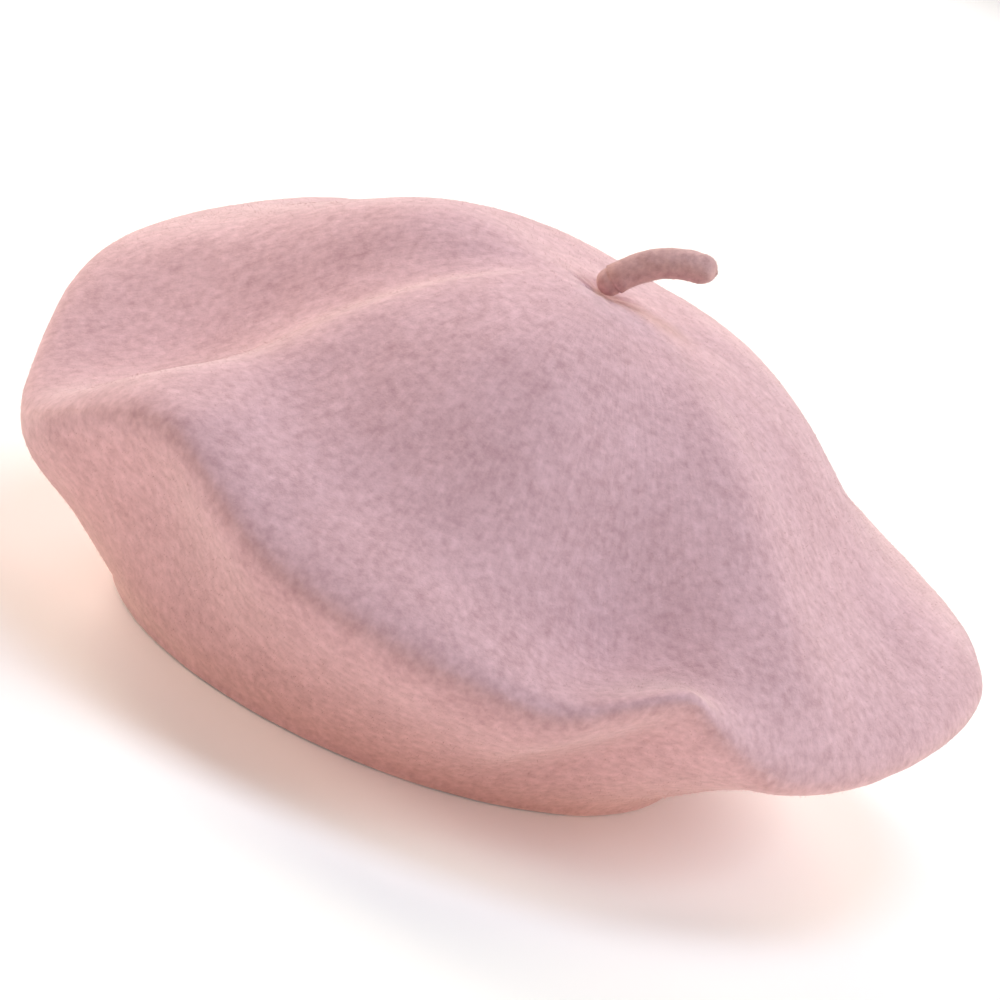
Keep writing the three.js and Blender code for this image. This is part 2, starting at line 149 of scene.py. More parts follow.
for lamp in (  # name, place, size, power and colour
    ("cool_window", (1.17, -0.21, 1.13), 0.7, 12, (0.74, 0.93, 1.0)),
    ("sky_window", (0.05, 0.0, 1.66), 0.7, 9.4, (0.62, 0.74, 1.0)),
    ("back_window", (0.01, 1.48, 0.66), 0.7, 6, (0.85, 0.90, 1.0)),
    ("warm_window", (-1.23, -0.45, 0.92), 0.7, 5.2, (1.0, 0.86, 0.62)),
    ("front_window", (-0.3, -1.3, 0.9), 0.7, 3.2, (1.0, 0.95, 0.86)),
    ("glow_ridge", (-1.08, 0.91, 0.81), 0.5, 14, (1.0, 0.95, 0.82)),
    ("glow_left", (-1.12, 1.13, 0.17), 0.7, 4, (1.0, 0.90, 0.72)),
    ("glow_right", (0.76, 0.92, 1.13), 0.7, 7, (1.0, 0.84, 0.56)),
    ("glow_low", (1.55, 0.41, 0.17), 0.7, 6, (1.0, 0.90, 0.70)),
    ("table_glow", (0.80, -0.5, -1.1), 0.9, 4.2, (1.0, 0.68, 0.26)),
):
    soft_light(*lamp)

world = bpy.context.scene.world or bpy.data.worlds.new("room")
bpy.context.scene.world = world
world.use_nodes = True
sky = world.node_tree.nodes["Background"]
sky.inputs["Color"].default_value = (1.0, 0.96, 0.97, 1)
sky.inputs["Strength"].default_value = 0.08
bpy.context.scene.view_settings.view_transform = "Standard"

# %% [markdown]
# ## The felt's surface
# A felt hat could be sculpted, or simulated as cloth dropped on a head. Here it follows the same drawing
# as the CAD part, so that the fine piece fits the frame exactly: a meridian runs from the stalk's root
# over the crown, round the folded rim and under it to the head opening. Each meridian is a smooth
# B-spline through 14 control rings, and each ring is lifted and lowered round the hat by a list of
# folds. Azimuth 0 is the wearer's right, 90 the back, 180 the left and 270 the front.

# %% Sizes of the hat, in millimetres
OPENING_RADIUS = 91
RIM_RADIUS = 147
RIM_HEIGHT = 62
CROWN_HEIGHT = 133.5
FELT_THICKNESS = 2.8
CROWN_SHIFT = 14
ROOT_SHIFT = 15.5
TOP_LEAN = 0.12
RIM_ROLL = 5
TOP_RINGS = [  # share of the rim's radius, share of the crown's height, share of the shift
    (0.355, 0.9, 0.25),
    (0.54, 0.64, 0.5),
    (0.71, 0.31, 0.8),
]
LAST_STATION = 13

# %% Folds: azimuth and lift
CROWN_FOLDS = [(0, -3), (40, 3), (75, 5), (110, 10), (140, 12), (165, 12), (181, 7), (193, 0),
    (203, -3), (214, 0), (235, 0), (260, -1), (285, -5), (305, -6), (320, -4), (335, -5)]
SHOULDER_FOLDS = [(0, 1), (25, 6), (45, 8), (70, 9), (100, 11), (130, 15), (152, 18), (166, 17),
    (177, 10), (188, -3), (198, -7), (207, -2), (215, 3), (230, 2), (250, 1), (270, -2), (287, -9),
    (297, -9), (308, -3), (318, 1), (335, -2)]
SKIRT_FOLDS = [(0, 0), (30, 5), (60, 15), (95, 21), (125, 26), (148, 27), (160, 26), (172, 19),
    (184, 3), (194, -8), (203, -8), (210, 1), (218, 7), (230, 3), (248, -3), (268, -8), (281, -15),
    (290, -22), (299, -18), (309, -6), (319, 2), (330, -1), (345, -4)]
BROW_FOLDS = [(0, 1), (30, 2.5), (60, 11), (90, 21), (125, 29), (145, 24), (160, 18), (172, 11),
    (182, -2), (192, -12), (203, -11), (212, 3), (219, 12), (227, 12), (235, 6), (248, -2),
    (268, -9), (281, -17), (289, -18), (297, -12), (306, -5), (316, 0), (326, -5), (342, -5)]
RIM_FOLDS = [(0, 0), (20, 1), (42, 2), (60, 8), (85, 22), (108, 34), (125, 34), (136, 29),
    (146, 22), (156, 17), (168, 12), (180, 2), (190, -8), (199, -13), (207, -7), (215, 3),
    (223, 13), (230, 15), (239, 6), (247, -2), (262, -7), (278, -9.5), (284, -8), (290, 0),
    (296, 6), (301, -1), (307, -9), (314, -13), (326, -10.5), (342, -4.5)]
RIM_REACH = [(0, 5), (30, 0.5), (80, -2), (130, 0), (152, 3), (170, 3), (186, 2), (202, 5),
    (215, 4), (230, 1), (270, 0), (300, 1), (320, 2), (340, 2.5)]
BELLY_DROP = [(0, 16), (60, 17), (180, 17), (270, 16), (296, 17), (312, 9), (330, 10)]
LINING_SPAN = [(0, 0), (90, 0), (180, 0), (262, 0), (280, 0.5), (292, 1), (304, 0.5), (322, 0)]


def fold_curve(folds, azimuths):
    """A smooth closed curve through a fold list, at each azimuth."""
    keys = np.array([k for k, lift in folds], float)
    lifts = np.array([lift for k, lift in folds], float)
    keys = np.concatenate([keys[-2:] - FULL_TURN, keys, keys[:2] + FULL_TURN])
    lifts = np.concatenate([lifts[-2:], lifts, lifts[:2]])
    slopes = np.gradient(keys) * 0
    slopes[1:-1] = (lifts[2:] - lifts[:-2]) / (keys[2:] - keys[:-2])
    at = np.mod(azimuths, FULL_TURN)
    i = np.searchsorted(keys, at, side="right") - 1
    width = keys[i + 1] - keys[i]
    u = (at - keys[i]) / width
    return (
        (2 * u**3 - 3 * u**2 + 1) * lifts[i]
        + (u**3 - 2 * u**2 + u) * width * slopes[i]
        + (3 * u**2 - 2 * u**3) * lifts[i + 1]
        + (u**3 - u**2) * width * slopes[i + 1]
    )


print("rim's lift at the back:", round(float(fold_curve(RIM_FOLDS, np.array([90.0]))[0]), 1), "mm")

# %% Control rings and the B-spline
def control_rings(azimuths, inset):
    """The 14 control rings at these azimuths, in millimetres. An inset gives the lining's surface."""
    span = fold_curve(LINING_SPAN, azimuths) if inset else 0 * azimuths
    rim = RIM_HEIGHT + fold_curve(RIM_FOLDS, azimuths) - 9 * span
    reach = RIM_RADIUS + fold_curve(RIM_REACH, azimuths) - 16 * span
    drop = fold_curve(BELLY_DROP, azimuths)
    belly = reach - 12
    angle = np.radians(azimuths)
    cosine, sine = np.cos(angle), np.sin(angle)

    def ring(shift, radius, height):
        across, along = shift + radius * cosine, radius * sine
        return np.stack([across, along, height + 0 * azimuths], axis=-1)

    def top(share):
        return ROOT_SHIFT + (CROWN_SHIFT - ROOT_SHIFT) * share

    rise = CROWN_HEIGHT - RIM_HEIGHT
    rings = [
        ring(ROOT_SHIFT + 0 * azimuths, 0, CROWN_HEIGHT - 3.2 - inset),
        ring(ROOT_SHIFT, 9, CROWN_HEIGHT - 9 * TOP_LEAN * cosine - inset),
        ring(ROOT_SHIFT, 24, CROWN_HEIGHT - 1.2 - 24 * TOP_LEAN * cosine - inset),
    ]
    for (radius, height, drift), folds in zip(TOP_RINGS, (CROWN_FOLDS, SHOULDER_FOLDS, SKIRT_FOLDS)):
        lift = fold_curve(folds, azimuths)
        rings.append(ring(top(drift), RIM_RADIUS * radius, RIM_HEIGHT + rise * height + lift - inset))
    brow = RIM_HEIGHT + 14 + fold_curve(BROW_FOLDS, azimuths)
    middle = (belly + OPENING_RADIUS) / 2
    rings += [
        ring(CROWN_SHIFT, reach - 20 - inset, brow - inset),
        ring(CROWN_SHIFT, reach - inset, rim + RIM_ROLL - inset / 2),
        ring(CROWN_SHIFT, reach - inset, rim - RIM_ROLL + inset / 2),
        ring(CROWN_SHIFT * 0.8, belly - inset / 2, rim - drop + inset),
        ring(CROWN_SHIFT * 0.4, middle + 3 - inset / 2, (rim - drop) / 2 + 6 + inset),
        ring(0, OPENING_RADIUS + 9.5 - inset, 11 + inset / 2),
        ring(0, OPENING_RADIUS + 1.5 - inset / 2, 4 + inset / 2),
        ring(0, OPENING_RADIUS - inset / 2, inset / 2),
    ]
    return np.array(rings)


def surface(azimuths, stations, inset=0):
    """Points of the surface in millimetres, one row for each station."""
    rings = control_rings(azimuths, inset)
    across = control_rings(azimuths + FULL_TURN / 2, inset)[1]
    beyond = 2 * rings[-1] - rings[-2]
    rings = np.concatenate([across[None], rings, beyond[None]])
    stations = np.asarray(stations, float)
    i = np.minimum(stations.astype(int), LAST_STATION - 1)
    u = (stations - i)[:, None, None]
    return (
        (1 - u) ** 3 * rings[i]
        + (3 * u**3 - 6 * u**2 + 4) * rings[i + 1]
        + (1 + 3 * u + 3 * u**2 - 3 * u**3) * rings[i + 2]
        + u**3 * rings[i + 3]
    ) / 6


def unit(vectors):
    return vectors / np.maximum(np.linalg.norm(vectors, axis=-1, keepdims=True), 1e-12)


def surface_normals(azimuths, stations, inset=0):
    """Outward normals at the same points."""
    stations = np.asarray(stations, float)
    ahead = surface(azimuths, np.minimum(stations + 0.01, LAST_STATION), inset)
    ahead = ahead - surface(azimuths, np.maximum(stations - 0.01, 0), inset)
    sideways = surface(azimuths + 0.5, stations, inset) - surface(azimuths - 0.5, stations, inset)
    normals = unit(np.cross(ahead, sideways))
    normals[stations < 0.02] = unit(np.array([TOP_LEAN, 0, 1.0]))
    return normals


# %% Mesh from rows of points
def mesh_piece(name, points, faces, places=None):
    """A smooth piece from points in millimetres, with the UV place of each face's corners if given."""
    mesh = bpy.data.meshes.new(name)
    mesh.from_pydata((np.asarray(points, float) * MM).tolist(), [], faces)
    if places is not None:
        layer = mesh.uv_layers.new(name="cut")
        layer.data.foreach_set("uv", np.array(places, np.float32).ravel())
    mesh.polygons.foreach_set("use_smooth", [True] * len(faces))
    piece = bpy.data.objects.new(name, mesh)
    bpy.context.scene.collection.objects.link(piece)
    return piece


def rows_mesh(name, rows, loop=False, span=1.0):
    """A piece from rows of points in millimetres. Each row closes on itself, a row of one point is a
    pole, and loop joins the last row to the first. The UV map runs once round the hat and once over
    the rows."""
    points = np.concatenate([np.asarray(row, float).reshape(-1, 3) for row in rows])
    starts = np.cumsum([0] + [len(row) for row in rows])
    faces, places = [], []
    joints = len(rows) if loop else len(rows) - 1
    for r in range(joints):
        n = (r + 1) % len(rows)
        here, there = len(rows[r]), len(rows[n])
        steps = max(here, there)
        low, high = r / joints * span, (r + 1) / joints * span
        for s in range(steps):
            a = starts[r] + (s % here)
            b = starts[r] + ((s + 1) % here)
            c = starts[n] + (s % there)
            d = starts[n] + ((s + 1) % there)
            left, farther = s / steps, (s + 1) / steps
            corners = [(a, left, low), (c, left, high), (d, farther, high), (b, farther, low)]
            if here == 1:
                corners = corners[:3]
            if there == 1:
                corners = [corners[0], corners[1], corners[3]]
            faces.append([int(corner[0]) for corner in corners])
            places += [(corner[1], corner[2]) for corner in corners]
    piece = mesh_piece(name, points, faces, places)
    piece.data.validate()
    print(name, len(points), "points,", len(faces), "faces")
    return piece


def finish_piece(piece, material, body, slot, *nodes):
    """Material, body, material slot and the CAD nodes that the piece stands for. The slot is not used."""
    piece.data.materials.clear()
    piece.data.materials.append(material)
    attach(piece, body)
    if nodes:
        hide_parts(*nodes)
    return piece


# %% [markdown]
# ## Felt as a material
# Fulled wool has no weave left to see. Its colour comes from fibres that lie every way, some lighter and
# some darker than the rest, in flecks of one to three millimetres that are drawn out along the hat's
# meridians by the brush. The effect is one node group, used by the hat, the stalk and the stalk's foot.
# A flat picture as texture would carry its own light with it, so the flecks are noise on the piece's own
# coordinates. The glow of the nap is the shader's sheen, and also painted highlight: the hat's fibres get a
# lighter copy of the felt.

# %% Wool node group
def node(tree, kind, **values):
    """A node with its properties or, by socket name, its input values set."""
    made = tree.nodes.new(kind)
    for key, value in values.items():
        if key in made.bl_rna.properties:
            setattr(made, key, value)
        else:
            made.inputs[key.replace("_", " ")].default_value = value
    return made


def new_pattern(group_name, values, vectors):
    """An empty node group that puts out Tone and Height: its tree, its two end nodes and its linker."""
    tree = bpy.data.node_groups.new(group_name, "ShaderNodeTree")
    for name, value in values.items():
        socket = tree.interface.new_socket(name, in_out="INPUT", socket_type="NodeSocketFloat")
        socket.default_value = value
    for name in vectors:
        tree.interface.new_socket(name, in_out="INPUT", socket_type="NodeSocketVector")
    for name in ("Tone", "Height"):
        tree.interface.new_socket(name, in_out="OUTPUT", socket_type="NodeSocketFloat")
    return tree, tree.nodes.new("NodeGroupInput"), tree.nodes.new("NodeGroupOutput"), tree.links.new


def build_wool_group():
    tree, ends, out, link = new_pattern("wool", {"Fleck Size": 0.0028, "Contrast": 2.8}, ("Place", "Cut"))
    frequency = node(tree, "ShaderNodeMath", operation="DIVIDE")
    frequency.inputs[0].default_value = 1.0
    link(ends.outputs["Fleck Size"], frequency.inputs[1])
    flecks = node(tree, "ShaderNodeTexNoise", Detail=3.0, Roughness=0.6)
    link(ends.outputs["Place"], flecks.inputs["Vector"])
    link(frequency.outputs[0], flecks.inputs["Scale"])
    patches = node(tree, "ShaderNodeTexNoise", Scale=45.0, Detail=3.0, Roughness=0.55)
    link(ends.outputs["Place"], patches.inputs["Vector"])
    hairs = node(tree, "ShaderNodeTexNoise", Scale=1500.0, Detail=2.0, Roughness=0.6)
    link(ends.outputs["Place"], hairs.inputs["Vector"])
    stretch = node(tree, "ShaderNodeMapping")
    stretch.inputs["Scale"].default_value = (420, 62, 1)
    link(ends.outputs["Cut"], stretch.inputs["Vector"])
    streaks = node(tree, "ShaderNodeTexNoise", Scale=1.0, Detail=2.0, Roughness=0.55)
    link(stretch.outputs[0], streaks.inputs["Vector"])

    def weighted(source, weight, before=None):
        part = node(tree, "ShaderNodeMath", operation="MULTIPLY_ADD")
        link(source, part.inputs[0])
        part.inputs[1].default_value = weight
        if before is None:
            part.inputs[2].default_value = 0.0
        else:
            link(before, part.inputs[2])
        return part.outputs[0]

    tone = weighted(flecks.outputs[0], 0.52)
    tone = weighted(streaks.outputs[0], 0.18, tone)
    tone = weighted(patches.outputs[0], 0.26, tone)
    tone = weighted(hairs.outputs[0], 0.04, tone)
    centred = node(tree, "ShaderNodeMath", operation="SUBTRACT")
    link(tone, centred.inputs[0])
    centred.inputs[1].default_value = 0.5
    spread = node(tree, "ShaderNodeMath", operation="MULTIPLY")
    link(centred.outputs[0], spread.inputs[0])
    link(ends.outputs["Contrast"], spread.inputs[1])
    settled = node(tree, "ShaderNodeMath", operation="ADD", use_clamp=True)
    link(spread.outputs[0], settled.inputs[0])
    settled.inputs[1].default_value = 0.5
    link(settled.outputs[0], out.inputs["Tone"])

    height = weighted(hairs.outputs[0], 0.45)
    height = weighted(flecks.outputs[0], 0.35, height)
    height = weighted(streaks.outputs[0], 0.2, height)
    link(height, out.inputs["Height"])
    return tree


wool = build_wool_group()


def patterned_material(name, pattern, values, dark, light, strength, depth):
    """A material with its colour, between a dark and a light one, and its bump from a pattern group."""
    material, tree, shader = new_material(name)
    place = tree.nodes.new("ShaderNodeTexCoord")
    group = tree.nodes.new("ShaderNodeGroup")
    group.node_tree = pattern
    for socket, value in values.items():
        group.inputs[socket].default_value = value
    for socket, space in (("Place", "Object"), ("Cut", "UV")):
        if socket in group.inputs:
            tree.links.new(place.outputs[space], group.inputs[socket])
    colour = tree.nodes.new("ShaderNodeMix")
    colour.data_type = "RGBA"
    colour.inputs["A"].default_value = (*dark, 1)
    colour.inputs["B"].default_value = (*light, 1)
    tree.links.new(group.outputs["Tone"], colour.inputs["Factor"])
    tree.links.new(colour.outputs["Result"], shader.inputs["Base Color"])
    bump = node(tree, "ShaderNodeBump", Strength=strength, Distance=depth)
    tree.links.new(group.outputs["Height"], bump.inputs["Height"])
    tree.links.new(bump.outputs["Normal"], shader.inputs["Normal"])
    return material, shader


def felt_material(name, dark, light, fleck=0.0028, contrast=2.8, depth=0.0004):
    material, shader = patterned_material(
        name, wool, {"Fleck Size": fleck, "Contrast": contrast}, dark, light, 0.55, depth)
    shader.inputs["Roughness"].default_value = 0.95
    shader.inputs["Specular IOR Level"].default_value = 0.12
    shader.inputs["Sheen Weight"].default_value = 0.45
    shader.inputs["Sheen Roughness"].default_value = 0.45
    shader.inputs["Sheen Tint"].default_value = (1.0, 0.86, 0.82, 1)
    return material


felt = felt_material("felt", (0.53, 0.295, 0.318), (0.80, 0.50, 0.54))
# The hat's fibres get a lighter copy of the felt: painted highlight, for light caught in the fibre ends.
nap_felt_painted_highlight = felt_material("felt_fibres_painted_highlight", (0.62, 0.36, 0.38), (0.84, 0.56, 0.57))
# The stalk gets the same felt painted darker and warmer: painted shade.
stalk_felt_painted_shade = felt_material("stalk_felt_painted_shade", (0.50, 0.275, 0.265), (0.76, 0.46, 0.45), fleck=0.002)

# %% [markdown]
# ## The felt body
# One closed skin: the outer surface, the inner one 2.8 mm behind it, and a rounded edge at the head
# opening. It is drawn far finer than the CAD solid, and the outer face gets what hands and steam leave
# on real felt: an unevenness of a quarter of a millimetre, and small puckers round the stalk's root,
# where the crown's last stitches are drawn together.

# %% Felt body
ROUND = 360
EDGE_ROUND = FELT_THICKNESS / 2
azimuths = np.arange(ROUND) * FULL_TURN / ROUND


def uneven(points, normals, size, amount, seed):
    """Moves points in millimetres along their normals by smooth noise."""
    shift = Vector((seed * 17.3, seed * 5.1, seed * 9.7))
    flat = points.reshape(-1, 3)
    lift = np.array([noise.noise(Vector(p) / size + shift) for p in flat])
    return points + normals * (lift * amount).reshape(points.shape[:-1] + (1,))


def felt_rows():
    stations = np.concatenate([np.linspace(0, 2.4, 22)[1:], np.linspace(2.4, 12.4, 92)[1:],
                               np.linspace(12.4, LAST_STATION, 9)[1:]])
    outer = surface(azimuths, stations)
    normals = surface_normals(azimuths, stations)
    from_root = np.hypot(outer[..., 0] - ROOT_SHIFT - 0.6, outer[..., 1])
    gather = np.exp(-((from_root - 7.5) / 3.0) ** 2)
    wave = np.sin(np.radians(azimuths * 11)) + 0.6 * np.sin(np.radians(azimuths * 7 + 40))
    outer = outer + normals * (gather * wave * 0.18)[..., None]
    outer = uneven(outer, normals, 14, 0.30, 1)
    outer = uneven(outer, normals, 5, 0.12, 2)
    inner_stations = stations[2::2]
    inner = surface(azimuths, inner_stations)
    inner = inner - surface_normals(azimuths, inner_stations) * FELT_THICKNESS
    for rows, way in ((outer, -1), (inner, 1)):
        rows[-1, :, 2] = 0
        height = np.clip(rows[..., 2], 0, EDGE_ROUND)
        bend = EDGE_ROUND - np.sqrt(np.maximum(EDGE_ROUND**2 - (EDGE_ROUND - height) ** 2, 0))
        outward = unit(rows[..., :2])
        rows[..., :2] += outward * (way * bend * 0.93)[..., None]
    crown_normal = unit(np.array([TOP_LEAN, 0, 1.0]))
    pole = surface(np.array([0.0]), [0])[0]
    rows = [pole, *outer, *inner[::-1], pole - crown_normal * FELT_THICKNESS]
    return rows, outer, normals


body_rows, outer_rows, outer_normals = felt_rows()
felt_body = rows_mesh("felt_skin", body_rows)
finish_piece(felt_body, felt, "hat", "felt", "felt_body")

# %% [markdown]
# ## The stalk
# The stalk is a short roll of the same felt that bends over to the wearer's right; its felt is painted
# darker and warmer than the hat's, which is painted shade. It grows from a round foot in the crown's
# dimple. A curve with a round bevel would give it an even tube; a circle that is extruded and turned step
# by step leaves each ring free, so the roll can swell towards its root and round off at its tip.

# %% Stalk
STALK_LENGTH = 30
STALK_RADIUS = 4.6
FOOT_RADIUS = STALK_RADIUS - 0.3  # less than in the CAD part, where it would look like a bead here
STALK_BENDS = [(0, 0), (0.15, 0.19), (0.36, 0.43), (0.78, 0.46)]  # across and up, of its length
foot_low, foot_high = (Vector(corner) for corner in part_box("stalk_foot"))
foot_centre = (foot_low + foot_high) / 2


def stalk_point(u):
    """A point of the stalk's centre line, and its direction there."""
    p = [Vector((x, 0, z)) * STALK_LENGTH * MM for x, z in STALK_BENDS]
    point = ((1 - u) ** 3 * p[0] + 3 * (1 - u) ** 2 * u * p[1]
             + 3 * (1 - u) * u**2 * p[2] + u**3 * p[3])
    way = ((1 - u) ** 2 * (p[1] - p[0]) + 2 * (1 - u) * u * (p[2] - p[1]) + u**2 * (p[3] - p[2]))
    return foot_centre + point, way.normalized()


def stalk_rings():
    """Centre, direction and radius of each ring, from the cupped end round the foot to the tip."""
    start, way = stalk_point(0)
    cup = (FOOT_RADIUS + 0.2) * MM
    rings = []
    for angle in (4, 20, 40, 60, 76):
        a = math.radians(angle)
        rings.append((start + way * cup * math.cos(a), way, cup * math.sin(a)))
    lip = cup + 0.35 * MM
    a = math.radians(76)
    rings.append((start + way * lip * math.cos(a), way, lip * math.sin(a)))
    for u in np.linspace(0.2, 1, 34):
        centre, way = stalk_point(float(u))
        radius = STALK_RADIUS - 0.2 * (1 - u) ** 2
        rings.append((centre, way, radius * MM))
    tip, way = stalk_point(1)
    for angle in (15, 30, 45, 58, 70, 80, 87):
        a = math.radians(angle)
        rings.append((tip + way * STALK_RADIUS * MM * math.sin(a), way, STALK_RADIUS * MM * math.cos(a)))
    return rings


def place_ring(points, centre, way, radius):
    """Puts a ring of selected points round a centre, at right angles to a direction."""
    side = Vector((0, 1, 0))
    up = side.cross(way).normalized()
    for i, v in enumerate(points):
        a = i * 2 * math.pi / len(points)
        v.co = centre + up * (radius * math.cos(a)) + side * (radius * math.sin(a))


STALK_SIDES = 32


def make_stalk():
    bpy.ops.object.select_all(action="DESELECT")
    bpy.ops.mesh.primitive_circle_add(vertices=STALK_SIDES, radius=STALK_RADIUS * MM, fill_type="NGON")
    stalk = bpy.context.object
    stalk.name = "stalk_roll"
    rings = stalk_rings()
    bpy.ops.object.mode_set(mode="EDIT")
    bpy.ops.mesh.select_all(action="SELECT")
    for k in range(len(rings) - 1):
        bpy.ops.mesh.extrude_region_move()
    bpy.ops.object.mode_set(mode="OBJECT")
    points = stalk.data.vertices
    for k, (centre, way, radius) in enumerate(rings):
        place_ring(points[k * STALK_SIDES:(k + 1) * STALK_SIDES], centre, way, radius)
    shell = bmesh.new()
    shell.from_mesh(stalk.data)
    bmesh.ops.recalc_face_normals(shell, faces=shell.faces)
    shell.to_mesh(stalk.data)
    shell.free()
    return stalk


stalk = make_stalk()
for v in stalk.data.vertices:
    lift = noise.noise(v.co / (5 * MM)) * 0.28 + noise.noise(v.co / (1.8 * MM)) * 0.10
    past_foot = (v.co - foot_centre).length / MM - FOOT_RADIUS - 0.6  # the cup stays smooth, to turn freely
    v.co += v.normal * lift * min(max(past_foot / 3, 0), 1) * MM
stalk.data.polygons.foreach_set("use_smooth", [True] * len(stalk.data.polygons))
# The stalk's felt is painted darker and warmer than the hat's: painted shade.
finish_piece(stalk, stalk_felt_painted_shade, "stalk", "felt", "stalk")
print("stalk:", len(stalk.data.vertices), "points")

# %% Foot of the stalk
bpy.ops.object.select_all(action="DESELECT")
bpy.ops.mesh.primitive_uv_sphere_add(segments=48, ring_count=32, radius=FOOT_RADIUS * MM,
                                     location=foot_centre)
foot = bpy.context.object
foot.name = "stalk_root"
bpy.ops.object.transform_apply(location=True, rotation=True, scale=True)
for v in foot.data.vertices:
    v.co += v.normal * noise.noise(v.co / (3 * MM)) * 0.12 * MM
bpy.ops.object.shade_smooth()
# The foot wears the stalk's felt, painted darker and warmer: painted shade.
finish_piece(foot, stalk_felt_painted_shade, "stalk_foot", "felt", "stalk_foot")

# %% [markdown]
# ## Nap
# A brushed felt has a thin fur of loose fibre ends, most of them lying along the brush's way from the
# crown to the rim. They blur the hat's outline and catch the light there, and the hat's fibres are painted
# lighter than the body, a painted highlight. Blender's hair would be lost in an export, so each fibre is a
# slim pyramid of its own, planted on the felt at random places from a seeded draw. They are one piece for
# the hat and one for the stalk.

# %% Nap fibres
FIBRE_RADIUS = 0.045  # millimetres, at its root
HAT_FIBRES = 46000
STALK_FIBRES = 1500


def plant_fibres(name, roots, normals, ways, lengths, draw):
    """Slim three-sided pyramids on a surface, in millimetres."""
    count = len(roots)
    lean = unit(normals * 0.55 + ways * 0.75 + draw.normal(0, 0.35, (count, 3)))
    lean = unit(lean + normals * np.clip(0.12 - (lean * normals).sum(-1, keepdims=True), 0, 1))
    side = unit(np.cross(lean, normals + draw.normal(0, 0.05, (count, 3))))
    front = np.cross(lean, side)
    start = roots - normals * 0.05
    corners = [start + FIBRE_RADIUS * (side * math.cos(a) + front * math.sin(a))
               for a in (0, 2 * math.pi / 3, 4 * math.pi / 3)]
    tips = start + lean * lengths[:, None]
    points = np.stack([*corners, tips], axis=1).reshape(-1, 3)
    first = (np.arange(count) * 4)[:, None]
    faces = np.concatenate([first + [0, 1, 3], first + [1, 2, 3], first + [2, 0, 3], first + [2, 1, 0]])
    fur = mesh_piece(name, points, faces.tolist())
    print(name, count, "fibres")
    return fur


def scatter_on_rows(points, normals, count, draw):
    """Random places on a grid of rows, as many per area everywhere, with the way towards the next row."""
    there = np.roll(points, -1, axis=1)
    area = np.linalg.norm(np.cross(there[:-1] - points[:-1], points[1:] - points[:-1]), axis=-1)
    chosen = draw.choice(area.size, size=count, p=area.ravel() / area.sum())
    r, c = np.unravel_index(chosen, area.shape)
    n = (c + 1) % points.shape[1]
    u, v = draw.random((2, count, 1))
    place = ((1 - u) * (1 - v) * points[r, c] + u * (1 - v) * points[r, n]
             + (1 - u) * v * points[r + 1, c] + u * v * points[r + 1, n])
    way = unit(points[r + 1, c] - points[r, c])
    return place, normals[r, c], way


draw = np.random.RandomState(11)
above_edge = slice(0, -16)
roots, root_normals, ways = scatter_on_rows(outer_rows[above_edge], outer_normals[above_edge],
                                            HAT_FIBRES, draw)
lengths = 0.5 + 1.0 * draw.random(HAT_FIBRES) ** 2
# The hat's fibres wear the lighter felt, a painted highlight.
hat_nap = plant_fibres("felt_nap", roots, root_normals, ways, lengths, draw)
finish_piece(hat_nap, nap_felt_painted_highlight, "hat", "felt")

stalk_mesh = stalk.data
picks = draw.choice(np.arange(STALK_SIDES * 6, len(stalk_mesh.vertices)), STALK_FIBRES)
roots = np.array([stalk_mesh.vertices[int(i)].co for i in picks]) / MM
root_normals = np.array([stalk_mesh.vertices[int(i)].normal for i in picks])
jitter = draw.normal(0, 0.25, roots.shape)
roots = roots + jitter - root_normals * (jitter * root_normals).sum(-1, keepdims=True)
ways = unit(np.array([[0.8, 0, 0.3]]) + 0 * roots)
lengths = 0.4 + 0.6 * draw.random(STALK_FIBRES) ** 2
stalk_nap = plant_fibres("stalk_nap", roots, root_normals, ways, lengths, draw)
# The stalk's fibres wear the stalk's painted-shade felt.
finish_piece(stalk_nap, stalk_felt_painted_shade, "stalk", "felt")

# %% [markdown]
# ## Woven materials
# Satin, ribbon, elastic and label tape are all woven, so they share one node group: rows of threads
# round the hat and across the piece, counted on the piece's own UV map, with uneven threads here and
# there. Each material gives the group its own thread counts. A plain noise would read as paper.

